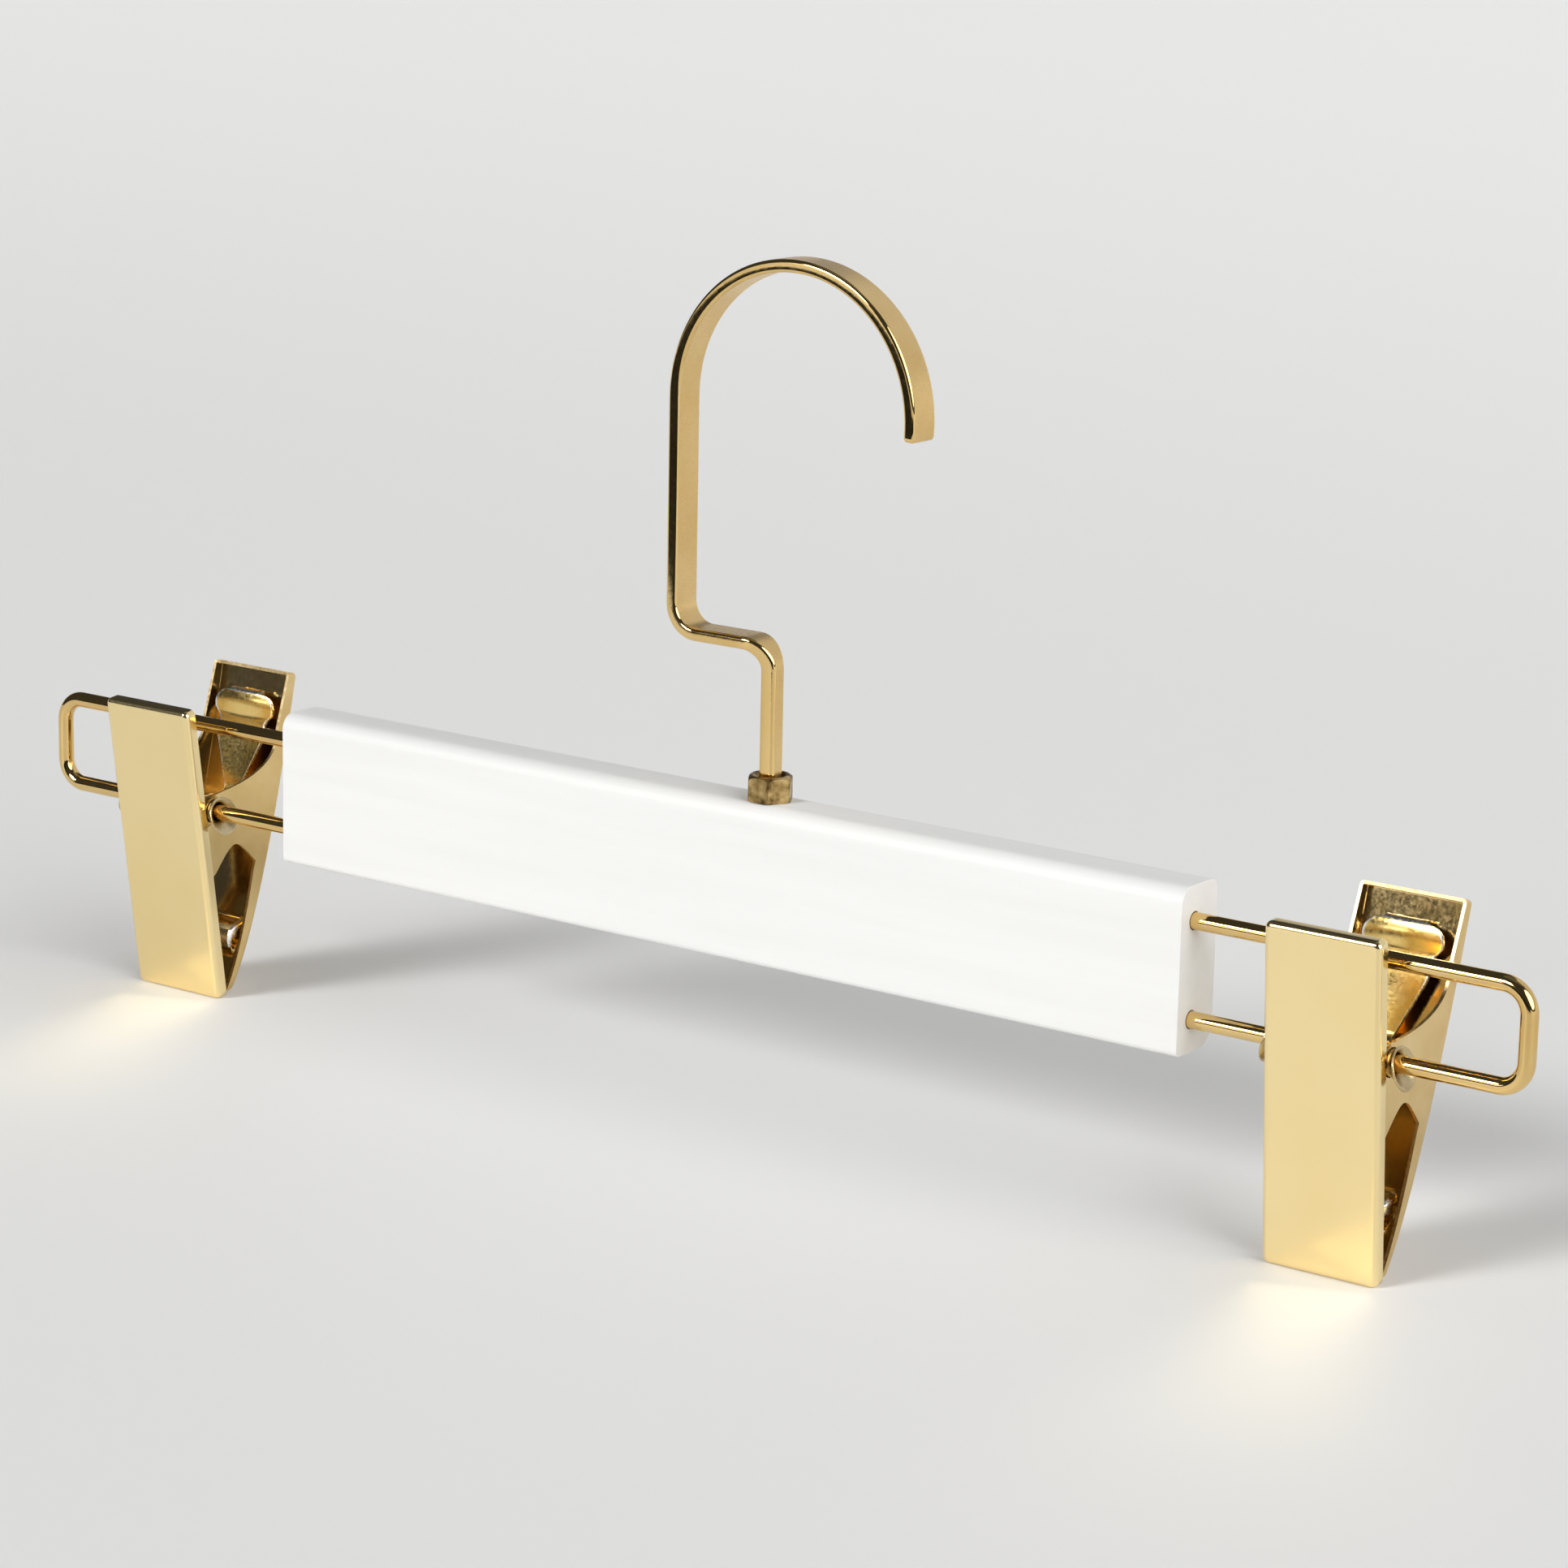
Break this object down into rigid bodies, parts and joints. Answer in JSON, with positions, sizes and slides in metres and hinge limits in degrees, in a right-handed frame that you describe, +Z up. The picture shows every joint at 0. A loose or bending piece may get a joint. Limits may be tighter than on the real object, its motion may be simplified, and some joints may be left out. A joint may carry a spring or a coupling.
{
  "type": "clip hanger",
  "caption": "Trouser hanger: a slim painted bar with a turning hook, and a sprung clip that slides and swings on the wire loop at each end.",
  "frame": {"origin": "where a rail bears on the hook: the top of the inside of its arc", "axes": "+Z up, +X along the bar, +Y to the back, away from the clips' plain faces"},
  "size_m": [0.35, 0.0363, 0.1678],
  "materials": {
    "white_paint": "matt white paint on wood",
    "gold_plate": "polished gold plate on steel",
    "satin_gold": "satin pale gold plate on steel sheet",
    "old_brass": "darkened brass",
    "spring_steel": "bright spring steel, lightly gilt"
  },
  "bodies": {
    "hook": {"hook": "gold_plate", "hook_retaining_ring": "spring_steel"},
    "bar": {"bar": "white_paint", "hook_nut": "old_brass", "left_wire_loop": "gold_plate", "right_wire_loop": "gold_plate"},
    "left_slider": {"left_pivot_sleeve": "spring_steel"},
    "left_front": {"left_front_jaw": "satin_gold", "left_jaw_spring": "spring_steel"},
    "left_back": {"left_back_jaw": "gold_plate"},
    "right_slider": {"right_pivot_sleeve": "spring_steel"},
    "right_front": {"right_front_jaw": "satin_gold", "right_jaw_spring": "spring_steel"},
    "right_back": {"right_back_jaw": "gold_plate"}
  },
  "joints": [
    {"name": "hook_swivel", "type": "hinge", "parent": "hook", "child": "bar", "pos_m": [-0.0051, 0, -0.10045], "axis": [0, 0, 1], "continuous": true},
    {"name": "left_clip_slide", "type": "slide", "parent": "bar", "child": "left_slider", "axis": [1, 0, 0], "range_m": [-0.0125, 0.0185]},
    {"name": "left_clip_swing", "type": "hinge", "parent": "left_slider", "child": "left_front", "pos_m": [-0.1581, -0.0015, -0.12525], "axis": [1, 0, 0], "range_deg": [-7, 26]},
    {"name": "left_jaw_squeeze", "type": "hinge", "parent": "left_front", "child": "left_back", "pos_m": [-0.1581, -0.0015, -0.12525], "axis": [1, 0, 0], "range_deg": [0, 20], "stiffness_Nm_per_rad": 0.3, "springref_deg": -45.84, "deforming": ["left_jaw_spring"]},
    {"name": "right_clip_slide", "type": "slide", "parent": "bar", "child": "right_slider", "axis": [1, 0, 0], "range_m": [-0.0144, 0.0165]},
    {"name": "right_clip_swing", "type": "hinge", "parent": "right_slider", "child": "right_front", "pos_m": [0.11982, -0.0015, -0.12525], "axis": [1, 0, 0], "range_deg": [-3, 30]},
    {"name": "right_jaw_squeeze", "type": "hinge", "parent": "right_front", "child": "right_back", "pos_m": [0.11982, -0.0015, -0.12525], "axis": [1, 0, 0], "range_deg": [0, 20], "stiffness_Nm_per_rad": 0.3, "springref_deg": -45.84, "deforming": ["right_jaw_spring"]}
  ]
}
